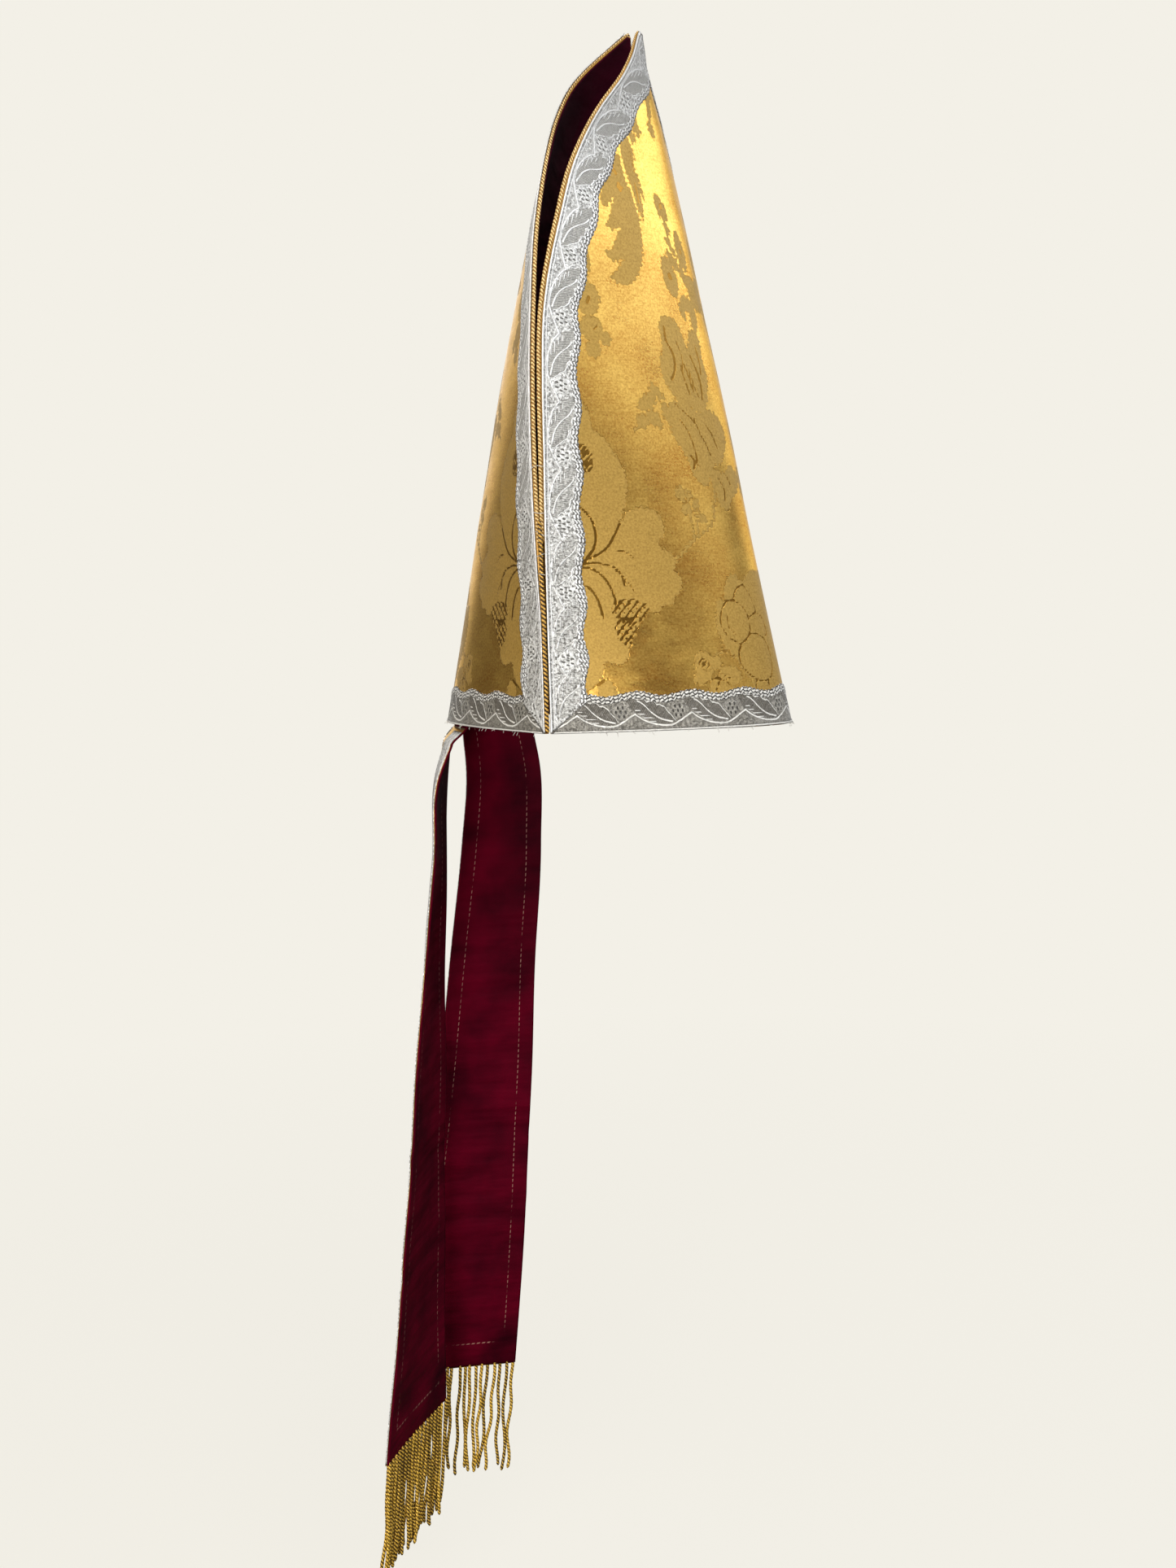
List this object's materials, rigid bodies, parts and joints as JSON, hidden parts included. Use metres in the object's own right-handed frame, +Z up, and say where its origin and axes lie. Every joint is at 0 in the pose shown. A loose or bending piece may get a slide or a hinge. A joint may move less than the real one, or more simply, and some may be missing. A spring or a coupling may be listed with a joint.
{
  "type": "bishop mitre",
  "caption": "Tall pointed ceremonial hat of two stiff gold damask horns with silver galloon borders, a burgundy lining and fringed lappets hanging from the back of the rim.",
  "frame": {"origin": "centre of the head opening, in the plane of the rim, on the line between the two side seams", "axes": "+Z up to the tips of the horns, -Y to the front of the wearer, -X to the wearer's right"},
  "size_m": [0.1948, 0.2753, 0.9083],
  "materials": {
    "gold_silk_damask": "gold satin damask over a stiff backing",
    "silver_galloon": "woven silver metallic braid",
    "gold_twisted_cord": "gold metallic thread cord",
    "burgundy_lining": "dark burgundy lining cloth",
    "gold_bullion_fringe": "twisted gold metallic fringe cords"
  },
  "bodies": {
    "root": {"front_horn": "gold_silk_damask", "back_horn": "gold_silk_damask", "front_lining": "burgundy_lining", "back_lining": "burgundy_lining", "front_rim_galloon": "silver_galloon", "back_rim_galloon": "silver_galloon", "front_right_galloon": "silver_galloon", "front_left_galloon": "silver_galloon", "back_right_galloon": "silver_galloon", "back_left_galloon": "silver_galloon", "front_piping": "gold_twisted_cord", "back_piping": "gold_twisted_cord", "right_seam_cord": "gold_twisted_cord", "left_seam_cord": "gold_twisted_cord", "right_lappet": "gold_silk_damask", "left_lappet": "gold_silk_damask", "right_lappet_galloon": "silver_galloon", "left_lappet_galloon": "silver_galloon", "right_fringe": "gold_bullion_fringe", "left_fringe": "gold_bullion_fringe"}
  },
  "joints": []
}
